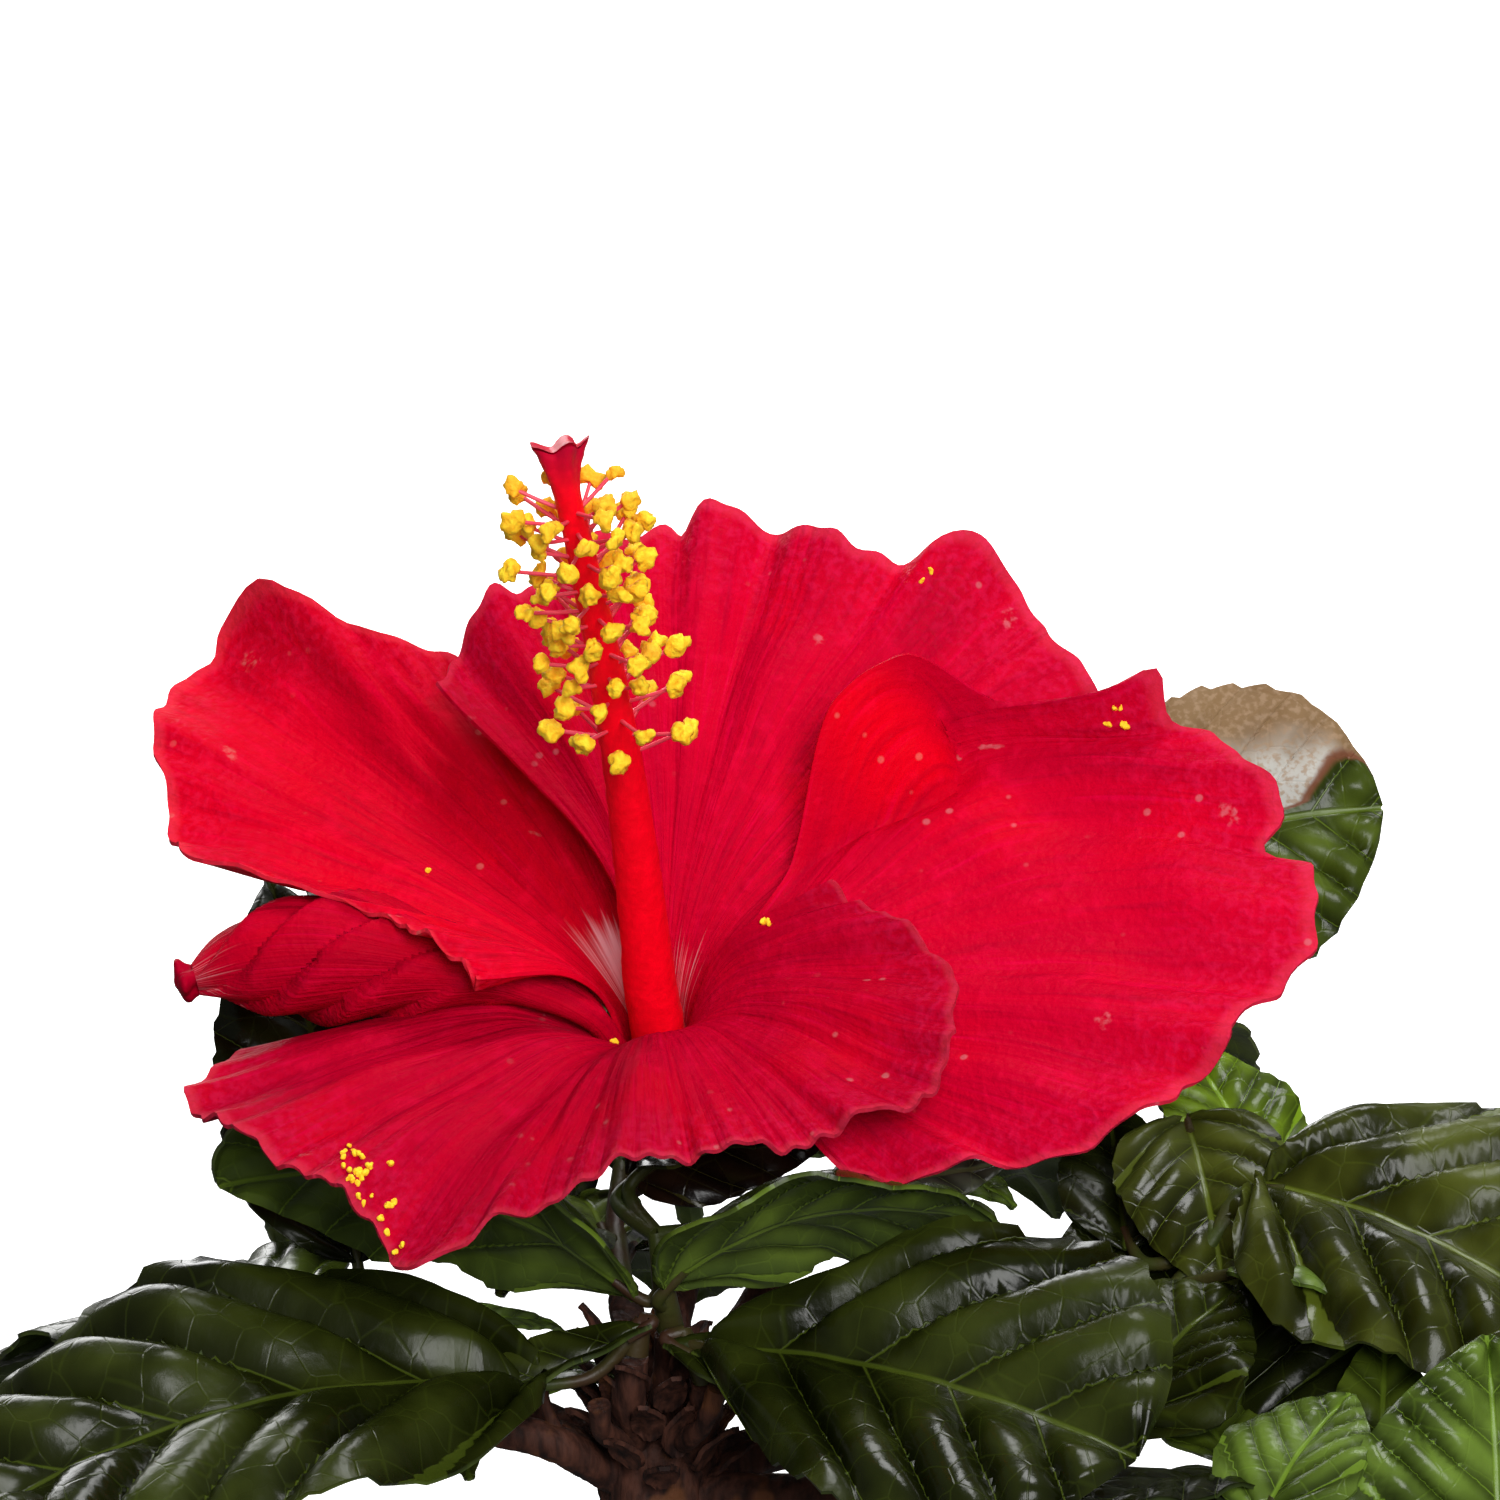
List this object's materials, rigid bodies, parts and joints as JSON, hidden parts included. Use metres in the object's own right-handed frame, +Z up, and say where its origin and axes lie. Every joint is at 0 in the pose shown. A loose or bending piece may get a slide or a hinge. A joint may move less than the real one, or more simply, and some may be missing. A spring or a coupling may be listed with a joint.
{
  "type": "hibiscus shrub",
  "caption": "Compact rooted hibiscus shrub: short forked woody trunk, spreading boughs, masses of dark glossy leaves and one open red bloom.",
  "frame": {"origin": "centre of the flat cut under the trunk, at ground level", "axes": "+Z up, -Y towards the viewer of the open bloom, +X to that viewer's right"},
  "size_m": [0.1955, 0.1557, 0.1599],
  "materials": {
    "bark": "rough scaly dark brown bark",
    "leaf": "glossy dark green leaf with paler yellow-green veins",
    "petal": "satin crimson red petal with fine darker veins",
    "column": "smooth red column with yellow pollen on its anthers",
    "calyx": "matt pale green"
  },
  "bodies": {
    "root": {"trunk": "bark", "bough_bloom": "bark", "bough_left": "bark", "bough_front_left": "bark", "bough_front": "bark", "bough_front_right": "bark", "bough_right_low": "bark", "bough_right": "bark", "bough_back_right": "bark", "bough_back": "bark", "bough_back_left": "bark", "pedicel": "calyx", "calyx": "calyx", "staminal_column": "column", "petal_left": "petal", "petal_back": "petal", "petal_right": "petal", "petal_front": "petal", "petal_furled": "petal", "leaves_left": "leaf", "leaves_under_bloom": "leaf", "leaves_front_right": "leaf", "leaves_right": "leaf", "leaves_right_low": "leaf", "leaves_back_right": "leaf", "leaves_back": "leaf", "leaves_back_left": "leaf", "leaves_left_low": "leaf"}
  },
  "joints": []
}
